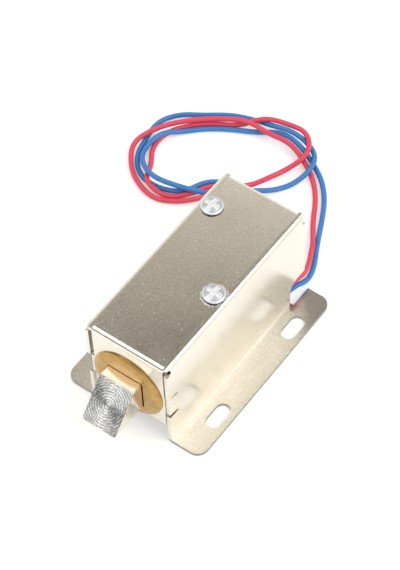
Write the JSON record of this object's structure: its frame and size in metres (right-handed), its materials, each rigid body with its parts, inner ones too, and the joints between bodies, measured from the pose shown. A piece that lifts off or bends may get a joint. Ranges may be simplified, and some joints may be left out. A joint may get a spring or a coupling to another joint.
{
  "type": "solenoid lock",
  "caption": "Electric solenoid lock: a folded sheet housing with slotted flanges and a spring-loaded, wedge-nosed bolt that a coil draws in through a brass guide, with loose leads.",
  "frame": {"origin": "centre of the slot pattern on the mounting face, under the middle of the housing's length and width", "axes": "+X the way the bolt points, +Z from the mounting face to the housing's top, +Y to the side where the leads come out"},
  "size_m": [0.1089, 0.0724, 0.0312],
  "materials": {
    "housing_steel": "satin nickel plate",
    "frame_steel": "zinc plate",
    "bolt_steel": "machined, nickel plate",
    "spring_steel": "drawn wire",
    "screw_steel": "zinc plate",
    "guide_brass": "turned, bright",
    "winding_copper": "enamelled wire",
    "bobbin_plastic": "moulded",
    "coil_tape": "wound tape",
    "cushion_rubber": "moulded",
    "sleeve_plastic": "shrunk sleeve",
    "red_insulation": "extruded",
    "blue_insulation": "extruded",
    "tinned_strand": "tinned"
  },
  "bodies": {
    "lock_body": {"housing": "housing_steel", "inner_frame": "frame_steel", "front_pole_plate": "frame_steel", "rear_pole_plate": "frame_steel", "guide_bush": "guide_brass", "return_spring": "spring_steel", "guide_tube": "guide_brass", "fixed_core": "frame_steel", "cushion_disc": "cushion_rubber", "bobbin": "bobbin_plastic", "coil_winding": "winding_copper", "coil_tape": "coil_tape", "front_screw": "screw_steel", "rear_screw": "screw_steel", "red_sleeve": "sleeve_plastic", "blue_sleeve": "sleeve_plastic", "red_lead": "red_insulation", "blue_lead": "blue_insulation", "red_strand": "tinned_strand", "blue_strand": "tinned_strand"},
    "bolt": {"latch_bolt": "bolt_steel", "plunger": "bolt_steel", "cross_pin": "bolt_steel", "stop_washer": "frame_steel"}
  },
  "joints": [
    {"name": "bolt_slide", "type": "slide", "parent": "lock_body", "child": "bolt", "axis": [-1, 0, 0], "range_m": [0, 0.01], "stiffness_N_per_m": 200, "springref_m": -0.005, "deforming": ["return_spring"]}
  ]
}
